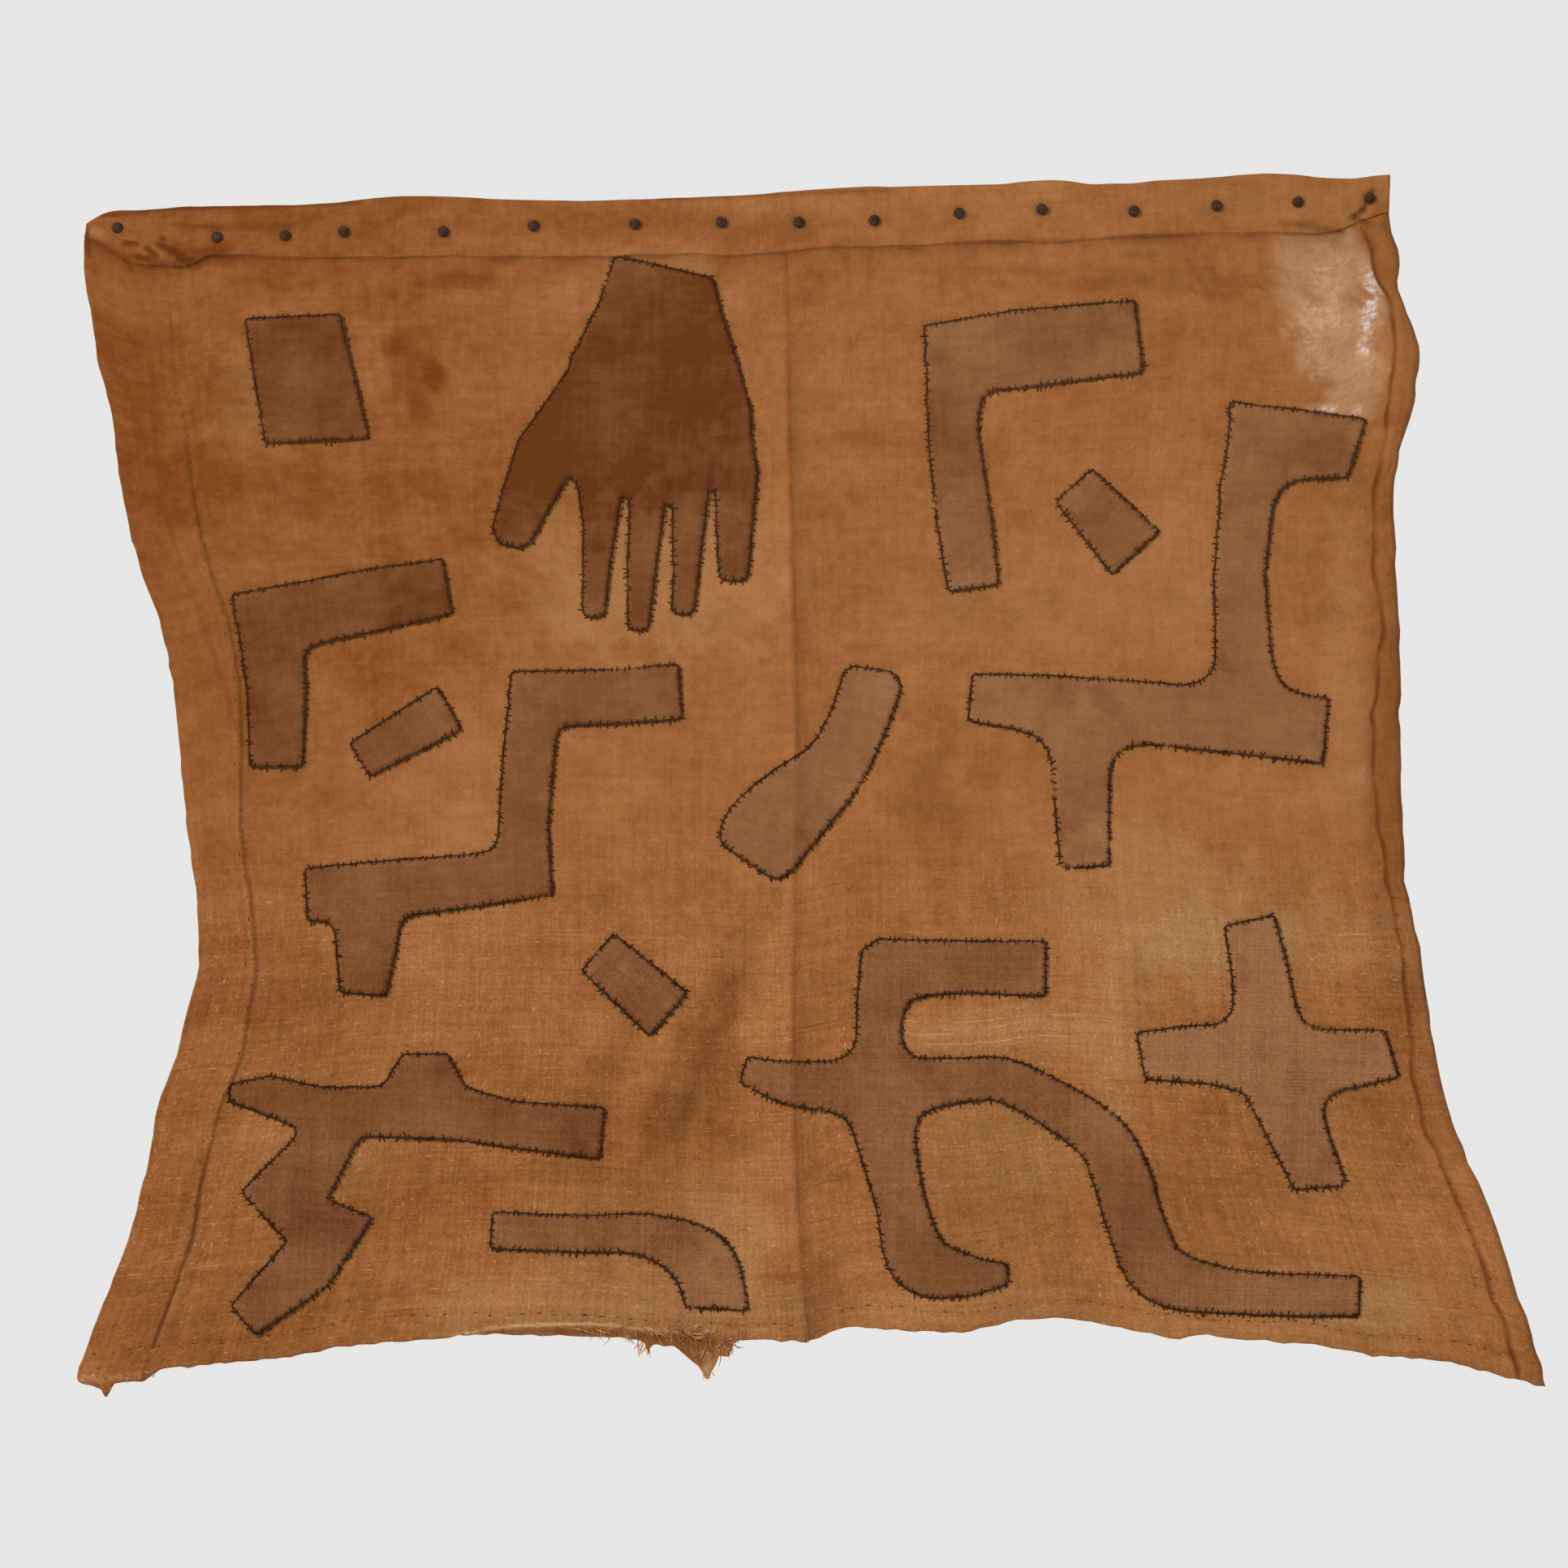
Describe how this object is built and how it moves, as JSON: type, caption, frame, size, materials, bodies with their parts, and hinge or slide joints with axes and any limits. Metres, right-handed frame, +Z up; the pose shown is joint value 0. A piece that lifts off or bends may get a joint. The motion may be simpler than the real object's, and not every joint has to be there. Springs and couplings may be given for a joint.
{
  "type": "kuba raffia cloth",
  "caption": "Wall-hung raffia cloth with dark cut patches sewn on, hemmed sides, a frayed hem and round-headed tacks along its turned-over heading.",
  "frame": {"origin": "on the back of the cloth, in the middle of the turned-over heading", "axes": "+X to the right of someone who looks at the front, +Y through the cloth towards the wall behind it, +Z up"},
  "size_m": [0.793, 0.0288, 0.661],
  "materials": {
    "raffia_cloth": "plain-woven raffia, warm brown, worn and stained",
    "patch_raffia": "plain-woven raffia, dyed taupe brown, matt",
    "tack_metal": "dark aged metal"
  },
  "bodies": {
    "root": {"cloth": "raffia_cloth", "patch_square": "patch_raffia", "patch_hand": "patch_raffia", "patch_angle_right": "patch_raffia", "patch_oblong_right": "patch_raffia", "patch_branch_right": "patch_raffia", "patch_angle_left": "patch_raffia", "patch_oblong_left": "patch_raffia", "patch_stepped": "patch_raffia", "patch_boot": "patch_raffia", "patch_oblong_middle": "patch_raffia", "patch_branch_left": "patch_raffia", "patch_bent": "patch_raffia", "patch_branch_middle": "patch_raffia", "patch_cross": "patch_raffia", "tack_01": "tack_metal", "tack_02": "tack_metal", "tack_03": "tack_metal", "tack_04": "tack_metal", "tack_05": "tack_metal", "tack_06": "tack_metal", "tack_07": "tack_metal", "tack_08": "tack_metal", "tack_09": "tack_metal", "tack_10": "tack_metal", "tack_11": "tack_metal", "tack_12": "tack_metal", "tack_13": "tack_metal", "tack_14": "tack_metal", "tack_15": "tack_metal", "tack_16": "tack_metal"}
  },
  "joints": []
}
